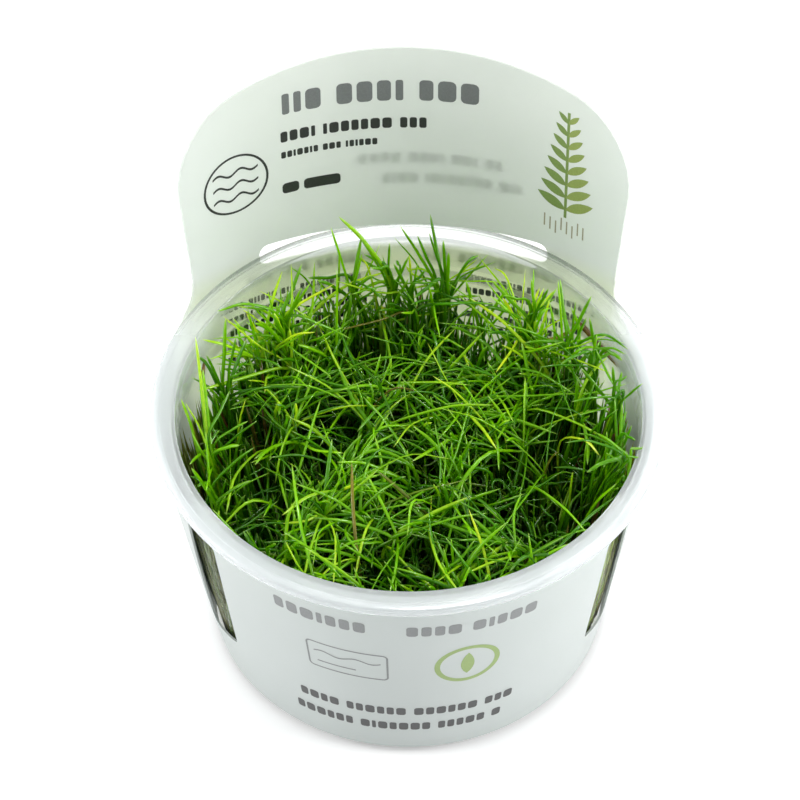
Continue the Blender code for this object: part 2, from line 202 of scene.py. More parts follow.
FILM_COLOUR = (0.982, 0.99, 0.972, 1.0)
PLASTIC_COLOUR = (0.83, 0.855, 0.868, 1.0)
PAINTED_EDGE_SHADE_COLOUR = (0.24, 0.27, 0.27, 1.0)
TIP_COLOUR = (0.64, 0.88, 0.26, 1.0)
THROUGH_BLADE = (1.6, 1.4, 0.3, 1.0)
NOISE_LOW, NOISE_HIGH = 0.3, 0.7
LABELS = ("tint", "along", "dead")  # what every point of a blade knows


def new_look(name):
    made = bpy.data.materials.new(name)
    made.use_nodes = True
    made.node_tree.nodes.clear()
    return made, Look(made.node_tree)


def clear_plastic():
    """Natural plastic: nearly clear in the thin wall, hazy in the rim and its flange, with fine grey lines on
    its edges at the back that are painted shade.
    """
    made, look = new_look("clear_plastic")
    x, y, z = (look.axis(name) for name in "XYZ")
    height = look.span(z, 0.046, 0.062)
    clear = look.greys(height, (0.0, 0.95), (0.20, 0.93), (0.25, 0.72), (0.70, 0.66), (0.78, 0.62), (1.0, 0.62))
    thin = look.greys(height, (0.0, 0.95), (0.20, 0.86), (0.30, 0.28), (0.75, 0.16))
    rings = look.span(look.length(look.add("CombineXYZ", {"X": x, "Y": y})), 0.0445, 0.0505)
    # Painted shade: dark lines on the mouth's edge and the flange's outer edge, only at the back, where clear
    # edges look dark against the panel; the back is also made more see-through
    line = look.greys(rings, (0.09, 0.0), (0.11, 0.6), (0.15, 0.6), (0.17, 0.0), (0.845, 0.0), (0.865, 0.55))
    behind = look.span(y, 0.016, 0.030)
    painted_edge_shade = look.product(line, behind)
    colour = look.mix(PLASTIC_COLOUR, PAINTED_EDGE_SHADE_COLOUR, painted_edge_shade)
    more = look.add("Math", {0: behind, 1: 0.58, 2: thin}, operation="MULTIPLY_ADD", use_clamp=True)
    film = look.add("Math", {0: more, 1: painted_edge_shade}, operation="SUBTRACT", use_clamp=True)
    haze = look.noise(160.0, 4.0)
    rough = look.span(haze, NOISE_LOW, NOISE_HIGH, 0.05, 0.14)
    shader = look.gloss(colour, rough, (haze, 0.10, 0.00006), **{"IOR": 1.46, "Transmission Weight": clear})
    look.see_through(shader, 0.86, film)
    return made


def white_sheet():
    """Thin polypropylene: satin, faintly grained, with light coming through it, most of all low at the back."""
    made, look = new_look("white_sheet")
    y = look.axis("Y")
    back = look.span(y, 0.0, 0.045)
    low = look.product(back, look.span(look.axis("Z"), 0.052, 0.060, 1.0, 0.0))
    light = look.span(y, 0.008, 0.022, 0.20, 0.42)
    share = look.add("Math", {0: low, 1: 0.22, 2: light}, operation="MULTIPLY_ADD")
    tint = look.ramp(look.noise(40.0, 3.0), (NOISE_LOW, (0.87, 0.905, 0.89)), (NOISE_HIGH, (0.90, 0.93, 0.92)))
    # Painted shade: the sheet's front is painted darker than its back, and its back is painted faintly yellow as
    # painted light thrown back by the grass
    painted_front_shade_and_bounce = look.ramp(back, (0.18, (0.70, 0.725, 0.715)), (0.49, (1.0, 1.0, 0.99)), (1.0, (1.0, 1.0, 0.965)))
    # Painted light thrown back by the grass: the low back of the sheet is painted yellowish
    painted_grass_bounce = look.ramp(low, (0.0, (1.0, 1.0, 1.0)), (1.0, (1.0, 1.0, 0.86)))
    colour = look.times(look.times(tint, painted_front_shade_and_bounce), painted_grass_bounce)
    grain = look.noise(2400.0, 2.0)
    rough = look.span(grain, NOISE_LOW, NOISE_HIGH, 0.30, 0.40)
    satin = look.gloss(colour, rough, (grain, 0.06, 0.00004), **{"IOR": 1.46, "Specular IOR Level": 0.45})
    look.surface(look.blended(share, satin, look.add("BsdfTranslucent", {"Color": colour})))
    return made


def ink(name, colour, patchy=0.12):
    made, look = new_look(name)
    light = tuple(min(c * (1 + patchy) + patchy * 0.05, 1.0) for c in colour)
    look.surface(look.gloss(look.ramp(look.noise(3000.0, 3.0), (0.35, colour), (0.7, light)), 0.38))
    return made


def gel_material():
    made, look = new_look("gel")
    cloud = look.noise(220.0, 4.0)
    tint = look.ramp(cloud, (NOISE_LOW, (0.060, 0.075, 0.018)), (NOISE_HIGH, (0.150, 0.165, 0.050)))
    wet = {"IOR": 1.34, "Transmission Weight": 0.75}
    look.see_through(look.gloss(tint, 0.08, (cloud, 0.3, 0.0004), **wet), 0.35)
    return made


def grass_material():
    """Each blade carries its own tint, its place along its length, and how dead it is."""
    made, look = new_look("grass")
    tint, along, dead = (look.add("Attribute", out="Fac", attribute_name=name) for name in LABELS)
    green = look.ramp(tint, (0.0, (0.048, 0.185, 0.006)), (0.35, (0.100, 0.390, 0.002)),
                      (0.65, (0.310, 0.720, 0.002)), (1.0, (0.780, 0.970, 0.040)))
    # Painted light and shade along each blade: darker at its base, down in the mound, and brighter at its tip
    length = look.ramp(along, (0.0, (0.62, 0.64, 0.42)), (0.35, (0.75, 0.80, 0.8)), (0.7, (1.0, 1.0, 1.0)),
                       (0.96, (1.15, 1.02, 1.0)), (1.0, (1.5, 1.1, 1.0)))
    fibre = look.noise(900.0, 3.0)
    mottle = look.ramp(fibre, (NOISE_LOW, (0.82, 0.86, 0.8)), (NOISE_HIGH, (1.12, 1.08, 1.1)))
    brown = look.ramp(fibre, (0.0, (0.10, 0.035, 0.010)), (1.0, (0.34, 0.17, 0.055)))
    fresh = look.times(look.times(green, length), mottle)
    tipped = look.mix(fresh, TIP_COLOUR, look.span(along, 0.90, 1.0, 0.0, 0.5))
    colour = look.mix(tipped, brown, dead)
    rough = look.span(fibre, NOISE_LOW, NOISE_HIGH, 0.13, 0.24)
    waxy = {"IOR": 1.42, "Specular IOR Level": 0.78, "Coat Weight": 0.30, "Coat Roughness": 0.12}
    blade = look.gloss(colour, rough, (fibre, 0.15, 0.00006), **waxy)
    through = look.add("BsdfTranslucent", {"Color": look.times(colour, THROUGH_BLADE)})
    look.surface(look.blended(0.34, blade, through))
    return made


def floor_material():
    """Pale and matt. Outside the cup's foot it glows a little, so that it is as white as the photo's ground."""
    made, look = new_look("floor")
    tint = look.greys(look.noise(3.0, 2.0), (NOISE_LOW, 0.93), (NOISE_HIGH, 0.95))
    # Painted shadow: the glow stops under the cup's foot, so the floor beneath the pot is darker
    glow_and_painted_shadow = look.span(look.length(look.add("TexCoord", out="Object")), 0.034, 0.041, 0.0, 0.34)
    lit = {"Specular IOR Level": 0.1, "Emission Color": (1.0, 1.0, 1.0, 1.0), "Emission Strength": glow_and_painted_shadow}
    look.surface(look.gloss(tint, 0.9, **lit))
    return made


# ---- helpers for shapes


def linked(name, data):
    """A new object in the scene."""
    obj = bpy.data.objects.new(name, data)
    bpy.context.scene.collection.objects.link(obj)
    return obj


def place(name, mesh, mat):
    mesh.materials.clear()
    mesh.materials.append(mat)
    obj = linked(name, mesh)
    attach(obj, "root")
    return obj


def evaluated_mesh(obj):
    graph = bpy.context.evaluated_depsgraph_get()
    mesh = bpy.data.meshes.new_from_object(obj.evaluated_get(graph))
    mesh.transform(obj.matrix_world)
    bpy.data.objects.remove(obj, do_unlink=True)
    return mesh


def turned(name, profile, steps):
    mesh = bpy.data.meshes.new(name)
    mesh.from_pydata([(r, 0.0, z) for r, z in profile], [(i, i + 1) for i in range(len(profile) - 1)], [])
    obj = linked(name, mesh)
    screw = obj.modifiers.new("Screw", "SCREW")
    screw.angle = math.tau
    screw.steps = steps
    screw.render_steps = steps
    screw.use_merge_vertices = True
    screw.merge_threshold = 0.00001
    made = evaluated_mesh(obj)
    made.name = name
    made.shade_smooth()
    made.set_sharp_from_angle(angle=math.radians(50))
    return made


def smooth_profile(corners, steps=4):
    """A profile whose inner corners are turned into arcs: (r, z, fillet)."""
    points = []
    for i, (r, z, fillet) in enumerate(corners):
        here = Vector((r, z))
        if fillet == 0 or i in (0, len(corners) - 1):
            points.append(here)
            continue
        before = (Vector(corners[i - 1][:2]) - here).normalized()
        after = (Vector(corners[i + 1][:2]) - here).normalized()
        half = before.angle(after) / 2
        reach = fillet / math.tan(half)
        start, end = here + before * reach, here + after * reach
        for k in range(steps + 1):
            t = k / steps
            points.append(start * (1 - t) ** 2 + here * 2 * t * (1 - t) + end * t * t)
    return [(p.x, p.y) for p in points]


# ---- cup


def make_cup(mat):
    """The cup's section, turned, from the floor's inner middle over the rim to its outer middle."""
    under = RIM - 0.0009
    corners = [
        # the floor, with a low ring in it
        (0.0, 0.0010, 0), (0.0120, 0.0010, 0), (0.0122, 0.00115, 0.0001), (0.0128, 0.00115, 0.0001),
        (0.0130, 0.0010, 0), (wall(0) - THIN_WALL - 0.0003, 0.0010, 0.0010),
        # up the wall to the ledge, and up the mouth
        *[(wall(z) - THIN_WALL, z, 0) for z in WALL_ROWS],
        (wall(LEDGE - 0.0002) - THIN_WALL, LEDGE - 0.0002, 0.0002), (OPENING - 0.0003, LEDGE, 0.0002),
        (OPENING - 0.00015, RIM - 0.0034, 0.0004), (OPENING - 0.0002, RIM - 0.0030, 0.0003),
        # over the flange
        (OPENING, RIM, 0.0005), (FLANGE - 0.0019, RIM - 0.00005, 0.0004), (FLANGE - 0.0016, RIM, 0.0003),
        (FLANGE, RIM - 0.00005, 0.0006), (FLANGE, RIM - 0.0017, 0.0002),
        (FLANGE - 0.0007, RIM - 0.0017, 0.0002), (FLANGE - 0.0008, under, 0.0003),
        # down the outside
        (OPENING + WALL, under, 0.0005), (OPENING + WALL - 0.0003, LEDGE + 0.0006, 0.0003),
        (wall(LEDGE), LEDGE - 0.0002, 0.0003), *[(wall(z), z, 0) for z in WALL_ROWS[::-1]],
        (wall(0.0), 0.0, 0.0008), (0.0, 0.0, 0),
    ]
    mesh = turned("cup_clear", smooth_profile(corners), 180)
    for vert in mesh.vertices:
        x, y, z = vert.co
        radius = math.hypot(x, y)
        if radius > 0.030 and z < LEDGE:
            vert.co = Vector((x, y, z)) * Vector((1 + swell(math.atan2(x, y), z) / radius,) * 2 + (1,))
    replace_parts(place("cup_clear", mesh, mat), "cup")


# ---- sleeve


def arc_place(u, z):
    """The azimuth and radius of a point of the panel, which is bent on a wider arc than the band."""
    back = PANEL_BACK + PANEL_LEAN * (z - RIM)
    angle = u / PANEL_CURVE
    x = PANEL_CURVE * math.sin(angle)
    y = back - PANEL_CURVE * (1 - math.cos(angle))
    return math.atan2(x, y), math.hypot(x, y)


def wrap(u, z, out):
    """The place of a flat point of the sheet; out is its distance from the sheet's inner face."""
    side = -1 if u < 0 else 1
    free = freed(z)
    cone_azimuth = u / UNROLLED
    cone_radius = SLEEVE_RADIUS + SLEEVE_TAPER * z
    if abs(u) <= PANEL_FOOT or z > SLEEVE_TOP + PANEL_FILLET / 2:
        azimuth, radius = arc_place(u, z)
        bulge = radius - cone_radius
    else:
        start, radius = arc_place(side * PANEL_FOOT, z)
        azimuth = start + side * (abs(u) - PANEL_FOOT) / (HALF - PANEL_FOOT) * (math.pi - abs(start))
        gone = part(abs(azimuth), abs(start), BULGE_REACH[side])
        own = SIDE_BULGE[side]
        bulge = (radius - cone_radius - own) * (1 - gone) ** 10 + own * (1 - gone**2) ** 1.5
    azimuth = cone_azimuth + free * (azimuth - cone_azimuth)
    radius = cone_radius + free * bulge + out
    x = radius * math.sin(azimuth)
    return Matrix.Rotation(TURN, 3, "Z") @ Vector((x, radius * math.cos(azimuth), z - free * ASKEW * x))


def box(left, low, right, high):
    return (left, low), (right, low), (right, high), (left, high)


def rounded(corners, steps=8):
    """A closed outline whose corners are turned into arcs: (u, z, fillet)."""
    points = []
    for i, (u, z, fillet) in enumerate(corners):
        here = Vector((u, z))
        if fillet == 0:
            points.append(here)
            continue
        before = (Vector(corners[i - 1][:2]) - here).normalized()
        after = (Vector(corners[(i + 1) % len(corners)][:2]) - here).normalized()
        half = before.angle(after) / 2
        middle = here + (before + after).normalized() * fillet / math.sin(half)
        start = here + before * fillet / math.tan(half) - middle
        end = here + after * fillet / math.tan(half) - middle
        turn = start.angle_signed(end)
        for k in range(steps + 1):
            points.append(middle + start.copy() @ Matrix.Rotation(turn * k / steps, 2))
    return points


def panel_outline():
    """The whole sheet laid flat: the band, and the panel with its round shoulders and arched top."""
    arch, end = 0.1280, 0.0315
    drop, slope = end * end / 2 / arch, end / arch
    rise = PANEL_TOP - drop - SLEEVE_TOP
    shoulder_z = SLEEVE_TOP + (rise - slope * (PANEL_FOOT - end)) / (1 + slope * PANEL_FLARE)
    shoulder_u = PANEL_FOOT + PANEL_FLARE * (shoulder_z - SLEEVE_TOP)
    top = [end * (1 - 2 * k / 24) for k in range(25)]
    top = [(u, PANEL_TOP - u * u / 2 / arch, 0.0) for u in top]
    past = HALF * 1.1
    right = [(past, SLEEVE_FOOT, 0.0), (past, SLEEVE_TOP, 0.0)]
    right += [(PANEL_FOOT, SLEEVE_TOP, PANEL_FILLET), (shoulder_u, shoulder_z, 0.0182)]
    left = [(-u, z, fillet) for u, z, fillet in reversed(right)]
    return rounded(right + top + left)


def slot_outline():
    return rounded([(*p, SLOT_FILLET) for p in box(*SLOT)])


def window_outline(side):
    return rounded([(side * u, z, WINDOW_FILLET) for u, z in WINDOW[::side]])


def flat_shapes(outlines, extrude=0.0):
    """Closed outlines, and outlines inside them as holes, as a flat mesh in the XY plane."""
    curve = bpy.data.curves.new("outline", "CURVE")
    curve.dimensions = "2D"
    curve.fill_mode = "BOTH"
    curve.extrude = extrude
    for outline in outlines:
        spline = curve.splines.new("POLY")
        spline.points.add(len(outline) - 1)
        for point, (u, z) in zip(spline.points, outline):
            point.co = (u, z, 0.0, 1.0)
        spline.use_cyclic_u = True
    mesh = evaluated_mesh(linked("outline", curve))
    bm = bmesh.new()
    bm.from_mesh(mesh)
    bmesh.ops.remove_doubles(bm, verts=bm.verts, dist=0.000001)
    if extrude:
        bmesh.ops.recalc_face_normals(bm, faces=bm.faces)
    bm.to_mesh(mesh)
    bm.free()
    return mesh


def crease(bm, point, normal):
    """Cuts a line into the faces, for the sheet to bend on."""
    everything = [*bm.verts, *bm.edges, *bm.faces]
    bmesh.ops.bisect_plane(bm, geom=everything, dist=0.000001, plane_co=point, plane_no=normal)


def make_sleeve(mat):
    """The same cut and wrapped sheet as the frame's, with finer bends."""
    columns = 192
    row = 0.005
    rows = math.ceil(PANEL_TOP / row) + 1
    bm = bmesh.new()
    bmesh.ops.create_grid(bm, x_segments=columns, y_segments=rows, size=0.5)
    for vert in bm.verts:
        vert.co.x *= 2 * HALF
        vert.co.y = (vert.co.y + 0.5) * rows * row
        vert.co.z = -SHEET / 2
    flat = bpy.data.meshes.new("slab")
    bm.to_mesh(flat)
    bm.free()
    slab = linked("slab", flat)
    solidify = slab.modifiers.new("Solidify", "SOLIDIFY")
    solidify.thickness = SHEET
    solidify.offset = 1.0
    outlines = [panel_outline(), slot_outline(), window_outline(-1), window_outline(1)]
    cutter = linked("cutter", flat_shapes(outlines, SHEET))
    cut = slab.modifiers.new("Outline", "BOOLEAN")
    cut.operation = "INTERSECT"
    cut.solver = "EXACT"
    cut.object = cutter
    mesh = evaluated_mesh(slab)
    bpy.data.objects.remove(cutter, do_unlink=True)
    bm = bmesh.new()
    bm.from_mesh(mesh)
    ends = [f for f in bm.faces if all(abs(v.co.x) > HALF - 0.00001 for v in f.verts)]
    bmesh.ops.delete(bm, geom=ends, context="FACES")
    for column in range(1, columns):
        crease(bm, (HALF * (2 * column / columns - 1), 0, 0), (1, 0, 0))
    for k in range(1, rows):
        crease(bm, (0, k * row, 0), (0, 1, 0))
    for vert in bm.verts:
        vert.co = wrap(vert.co.x, vert.co.y, vert.co.z + SHEET / 2)
    bmesh.ops.remove_doubles(bm, verts=bm.verts, dist=0.00002)
    bmesh.ops.recalc_face_normals(bm, faces=bm.faces)
    bm.to_mesh(mesh)
    bm.free()
    mesh.name = "sleeve_sheet"
    mesh.shade_smooth()
    mesh.set_sharp_from_angle(angle=math.radians(40))
    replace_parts(place("sleeve_sheet", mesh, mat), "sleeve")


# ---- print: plain marks, with no words


def bar(u, z, length, height):
    r = min(length, height) * 0.3
    half = height / 2
    return rounded([(*p, r) for p in box(u, z - half, u + length, z + half)], 3)


def post(u, z, width, height):
    """An upright mark with square ends, standing on z."""
    return [Vector(p) for p in box(u, z, u + width, z + height)]


def word_line(u, z, length, height, seed):
    """A line of small blocks of one height, grouped as the letters of words are."""
    rand = random.Random(seed)
    outlines = []
    at = u
    while at < u + length - height:
        for _ in range(rand.randint(3, 8)):
            wide = height * rand.choice((0.30, 0.55, 0.62, 0.72))
            if at + wide > u + length:
                break
            outlines.append(bar(at, z, wide, height))
            at += wide + height * 0.18
        at += height * 0.45
    return outlines


def ring_frame(u, z, width, height, radius, line):
    """A rounded frame line: an outer and an inner outline."""
    insets = [(box(u + i, z + i, u + width - i, z + height - i), radius - i) for i in (0.0, line)]
    return [rounded([(*p, fillet) for p in corners]) for corners, fillet in insets]


def circle_ring(u, z, radius, line):
    turns = [math.tau * k / 48 for k in range(48)]
    return [[Vector((u + r * math.cos(a), z + r * math.sin(a))) for a in turns] for r in (radius, radius - line)]


def wave(u, z, length, rise, line):
    """A wavy line of even width."""
    middle = [(u + length * t, z + rise * math.sin(t * math.tau * 2)) for t in (k / 28 for k in range(29))]
    return [Vector((x, y + line / 2)) for x, y in middle] + [Vector((x, y - line / 2)) for x, y in middle[::-1]]


def leaf(u, z, length, degrees):
    """A pointed leaf outline that starts at (u, z)."""
    steps, angle = 8, math.radians(degrees)
    along = Vector((math.cos(angle), math.sin(angle)))
    across = Vector((-along.y, along.x))
    up, down = [], []
    for k in range(steps + 1):
        t = k / steps
        half = 0.2 * length * math.sin(math.pi * t) ** 0.8 * (1 - 0.25 * t)
        spot = Vector((u, z)) + along * length * t
        up.append(spot + across * half)
        if 0 < k < steps:
            down.append(spot - across * half)
    return up + down[::-1]


def print_on(name, groups, mat, out, mirror=None):
    """Prints outlines on the sheet. Each group is filled on its own, so that groups may cross."""
    full = bmesh.new()
    for outlines in groups:
        mesh = flat_shapes(outlines)
        full.from_mesh(mesh)
        bpy.data.meshes.remove(mesh)
    low = min(v.co.x for v in full.verts)
    high = max(v.co.x for v in full.verts)
    step = 0.0012
    for k in range(math.ceil(low / step), math.floor(high / step) + 1):
        crease(full, (k * step, 0, 0), (1, 0, 0))
    for vert in full.verts:
        u = vert.co.x if mirror is None else mirror - vert.co.x
        vert.co = wrap(u, vert.co.y, out)
    bmesh.ops.recalc_face_normals(full, faces=full.faces)
    mesh = bpy.data.meshes.new(name)
    full.to_mesh(mesh)
    full.free()
    mesh.shade_smooth()
    place(name, mesh, mat)


def make_print():
    dark = ink("ink_dark", (0.035, 0.036, 0.036))
    soft = ink("ink_grey", (0.18, 0.19, 0.19))
    green = ink("ink_green", (0.24, 0.34, 0.10))
    leaf_ink = ink("ink_leaf", (0.34, 0.42, 0.12))
    root_ink = ink("ink_root", (0.42, 0.37, 0.27))
    front = SHEET + 0.00002
    back = -0.00002

    # the panel's face, seen from the front
    title = [word_line(-0.024, 0.0945, 0.0400, 0.0050, 2)]
    print_on("print_panel_title", title, soft, back)
    lines = [word_line(-0.0245, 0.0865, 0.030, 0.0026, 3), word_line(-0.0245, 0.0820, 0.021, 0.0016, 5),
             [bar(-0.0245, 0.0735, 0.0035, 0.0026), bar(-0.0200, 0.0735, 0.0075, 0.0026)]]
    print_on("print_panel_lines", lines, dark, back)
    emblem = [circle_ring(-0.0345, 0.0785, 0.0072, 0.0005)]
    emblem += [[wave(-0.0395, 0.0815 - 0.0031 * k, 0.0100, 0.0006, 0.00055)] for k in range(3)]
    print_on("print_panel_emblem", emblem, dark, back)
    stem, near, deep = 0.0335, [], []
    for k in range(8):
        z, long = 0.0710 + 0.0031 * k, 0.0068 - 0.0005 * k
        near.append([leaf(stem, z, long, 28 + 3 * k)])
        deep.append([leaf(stem, z, long, 152 - 3 * k)])
    deep.append([post(stem - 0.0003, 0.0690, 0.0006, 0.0265)])
    print_on("print_panel_leaves", near, leaf_ink, back)
    print_on("print_panel_stem", deep, green, back * 0.8)
    roots = [[post(stem - 0.0045 + 0.0012 * k, 0.0655 - 0.0006 * (k % 3), 0.0003, 0.0032)] for k in range(8)]
    print_on("print_panel_roots", roots, root_ink, back)
    # the panel's back, which shows through faintly
    rear = [word_line(-0.009, 0.0776, 0.029, 0.0026, 21), word_line(-0.004, 0.0724, 0.028, 0.0026, 22)]
    print_on("print_panel_rear", rear, dark, front)

    # small lines on the band's inner face behind the clear wall
    small, other = [], []
    for k in range(5):
        z = 0.0468 - 0.0032 * k
        small.append(word_line(-0.0400 + 0.0012 * (k % 3), z, 0.032 - 0.002 * (k % 2), 0.0016, 60 + k))
        other.append(word_line(0.0120 + 0.001 * (k % 2), z, 0.0305 - 0.002 * (k % 3), 0.0016, 80 + k))
    print_on("print_band_left", small, dark, back)
    print_on("print_band_right", other, soft, back)
    # larger lines on its outer face, which show through
    large = [word_line(-0.0330, 0.0520, 0.0290, 0.0027, 31), word_line(0.0040, 0.0520, 0.0300, 0.0027, 32)]
    print_on("print_band_outside", large, soft, front)

    # the front, where u counts to the right from the middle
    title = [word_line(-0.0270, 0.0475, 0.0225, 0.0036, 101), word_line(-0.0015, 0.0475, 0.0285, 0.0034, 102)]
    print_on("print_front_title", title, soft, front, HALF)
    badge = [circle_ring(0.0105, 0.0335, 0.0066, 0.0011), [leaf(0.0105, 0.0298, 0.0078, 90)]]
    print_on("print_front_badge", badge, green, front, HALF)
    outline = [ring_frame(-0.0215, 0.0285, 0.0165, 0.0095, 0.0012, 0.0004)]
    outline += [[wave(-0.0200, 0.0345, 0.0135, 0.0005, 0.0004)], [bar(-0.0195, 0.0310, 0.0080, 0.0004)]]
    print_on("print_front_outline", outline, soft, front, HALF)
    low = [word_line(-0.0250, 0.0165, 0.0500, 0.0028, 111), word_line(-0.0265, 0.0105, 0.0470, 0.0028, 112)]
    print_on("print_front_lines", low, dark, front, HALF)


# ---- grass

CANOPY = 0.0500  # the mound's height at the axis
REACH = 0.0432  # how far from the axis a tip may be
LOW_REACH = 0.0415
LAST_WIDTH = 0.00005
STEM_ROOM = 0.0009  # between a tall plant's blades and the wall
# how many of each kind a tuft gets
CORE_BLADES, UNDER_BLADES = ((30, 48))
PLANTLETS, CURLS = 9, 26
WALL_BLADES, DEEP_BLADES, TALL_DEEP_BLADES, WINDOW_BLADES = 56, 30, 150, 120
# a blade's section, and the open places of the mound: (x, y, radius)
SECTION = np.array([(-0.50, 0.02), (-0.30, -0.30), (0.30, -0.30), (0.50, 0.02), (0.24, 0.20), (-0.24, 0.20)])
GAPS = (
    (0.0345, -0.0080, 0.0078), (0.0165, -0.0120, 0.0042), (0.0250, -0.0200, 0.0042), (-0.0340, 0.0004, 0.0058),
    (-0.0300, -0.0165, 0.0046), (-0.0285, -0.0280, 0.0036), (-0.0085, 0.0236, 0.0036), (0.0146, 0.0220, 0.0016),
    (-0.0007, 0.0235, 0.0018), (-0.0183, -0.0077, 0.0028), (-0.0127, 0.0016, 0.0026), (0.0034, -0.0086, 0.0024),
    (0.0020, -0.0300, 0.0030),
)
# plants that stand tall round the back and the sides, in millimetres:
# the crown, and for each blade the way to its tip and the rise of its bow
STARS = (
    ((-25.6, 27, 55.3), ((-12.3, -4, 5.5, 3.2), (-2.3, 0.5, 6.6, 0.3), (1.7, 0.5, 7, 0.4), (4.4, 0, 8, 0.2),
        (6.2, 0, 9.4, 0.4), (-7.2, 0, 2.3, 0.6), (14, -5, -1.5, 1.2), (-6, -5, -5, 1))),
    ((-11.3, 36, 58.6), ((-4.1, 1, 11.5, 0.6), (2, -1, 6, 0.4), (-7, -3, 0.5, 1.2), (6, -4, -4, 1.4))),
    ((-16, 24, 47), ((1.8, 6, 18.5, 0), (9, -3, 4, 1), (-6, -2, 5, 0.8))),
    ((-3.4, 36, 59.1), ((-10.4, 2, 13, 2.2), (-6.4, 1, 8.4, 1.2), (-0.4, 1, 6.5, 0.2),
        (3.5, -1.5, 5.5, 0.6), (-8, -5, -2, 1), (5, -6, -5, 1))),
    ((0.6, 33.5, 57), ((1.2, 0.5, 6, 0.2), (-3.6, 0, 6.5, 0.5), (5, -2, 3, 0.8), (-6.5, -4, -3, 1))),
    ((6.5, 36, 60), ((-8.1, 1, 10.4, 1), (-4.8, 0.5, 8.4, 0.4), (-2.4, 0.5, 9, 0.2), (0.4, 0.5, 7, 0.2),
        (7.5, 0, 3.2, 2.6), (-8, -2.5, -3, 0.8), (8.5, -6, -7.5, 1), (1.5, 0, 4, 0.2))),
    ((14.5, 31, 52), ((-3, 2, 7, 0.5), (5.5, 1, 6, 0.9), (8.5, -3, 1, 1.5), (-6, -4, 0, 1))),
    ((24.5, 27, 56.8), ((-5.6, 0.5, 3.7, 0.5), (-0.2, 0.5, 8.4, 0.2), (3.2, 0, 6.2, 0.3),
        (4.6, 0, 3.4, 0.5), (-9, -4, -2.5, 1), (3, -7, -4, 1))),
    ((32, 21.5, 57.5), ((-2.8, 1, 12.8, 0.6), (3.9, 0.5, 8.8, 0.7), (11, -8, 2.6, 4.6),
        (10.4, -6.6, 2.8, 2.6), (3.1, -0.5, 3.6, 0.3), (-9, -3, -1, 1), (-13, -1, 2, 1.4))),
    ((36.7, 14, 58.6), ((-1.5, 1, 9, 0.3), (0.1, 0.5, 4.8, 0.2), (5.6, -1.8, 1.6, 2.2), (5, -3.5, 1.6, 1.2),
        (-11, -3, -1, 1.2), (-8, 3, 0, 1))),
    ((40.6, 4, 59.6), ((1.7, 0.5, 2.8, 0.3), (4.6, -0.6, 1.8, 0.6), (-1.2, 1, 5, 0.2), (-9, -2, -2, 1.2),
        (-7, 4, 1, 0.8))),
    ((40.8, -6, 56.4), ((0.4, 5, 4, 0.3), (-0.8, 8, 2, 0.6), (-8, 1, 0, 1.6), (2.5, -4, 3.8, 0.6))),
    ((42, -11.5, 57.3), ((2.6, -0.2, 3.2, 0.4), (1.8, -2.4, 2.6, 0.8), (-4.2, 0.5, 0.4, 0.6),
        (-12, 3, 0.5, 2.6))),
    ((-36, 12, 54.9), ((-5.6, 3, 1.6, 2.4), (0.5, 2, 13.6, 0.2), (2.3, 1.5, 8.6, 0.3), (-3.6, 1, 4, 0.8),
        (9, -4, 0.5, 0.9), (15, -2, -2, 1.2), (-6.5, -3, 2, 0.4))),
    ((-39.6, -2, 50), ((-1.9, 15, 14.1, 0.4), (-1.3, 11, 9, 0.6), (-0.8, 13.5, 6.5, 0.3),
        (-4.4, 3, 9.6, 1.4), (10, 4, 2, 1), (4.5, 10, 4, 0.6))),
    ((-38, -12, 50), ((-1, 6, 8, 0.5), (-3.4, -3, 8, 0.8), (11, 2, 0.5, 1.6), (8, 8, 1, 1.2))),
    ((-27, -27, 48.5), ((-10.2, 4.6, 6.2, 0.3), (-3.5, -2, 8, 0.4), (2, -4, 6.5, 0.4), (9, 1, 3, 0.8))),
)


class Blades:
    """Collects blades as rings of points and makes one mesh of them."""

    def __init__(self):
        self.verts, self.faces, self.tint, self.along, self.dead = [], [], [], [], []
        self.count = 0

    def add(self, path, width, tint, twist, roll, dead, base):
        n, k = len(path), len(SECTION)
        tangent = np.gradient(path, axis=0)
        tangent /= np.linalg.norm(tangent, axis=1)[:, None]
        side = np.cross(tangent[0], (math.cos(roll), math.sin(roll), 0.15))
        side /= np.linalg.norm(side)
        rings = []
        for i in range(n):
            side = side - tangent[i] * side.dot(tangent[i])
            side /= np.linalg.norm(side)
            up = np.cross(tangent[i], side)
            t = i / (n - 1)
            size = width * (base + (1 - base) * min(t / 0.35, 1.0)) * (1 - t**13) ** 0.75
            size = max(size, LAST_WIDTH)
            turn = twist * t
            a = math.cos(turn) * side + math.sin(turn) * up
            b = math.cos(turn) * up - math.sin(turn) * side
            rings.append(path[i] + size * (SECTION[:, :1] * a + SECTION[:, 1:] * b))
        start = self.count
        self.verts.append(np.concatenate(rings))
        for i in range(n - 1):
            for j in range(k):
                m = (j + 1) % k
                low, high = start + i * k, start + (i + 1) * k
                self.faces.append((low + j, low + m, high + m, high + j))
        last = start + (n - 1) * k
        self.faces.append(tuple(last + j for j in range(k)))
        self.faces.append(tuple(start + j for j in reversed(range(k))))
        self.along.append(np.repeat(np.linspace(0, 1, n), k))
        self.tint.append(np.full(n * k, tint))
        self.dead.append(np.full(n * k, dead))
        self.count += n * k

    def mesh(self, name):
        mesh = bpy.data.meshes.new(name)
        mesh.from_pydata(np.concatenate(self.verts).tolist(), [], self.faces)
        for label in LABELS:
            layer = mesh.attributes.new(label, "FLOAT", "POINT")
            layer.data.foreach_set("value", np.concatenate(getattr(self, label)).astype(np.float32))
        mesh.shade_smooth()
        return mesh


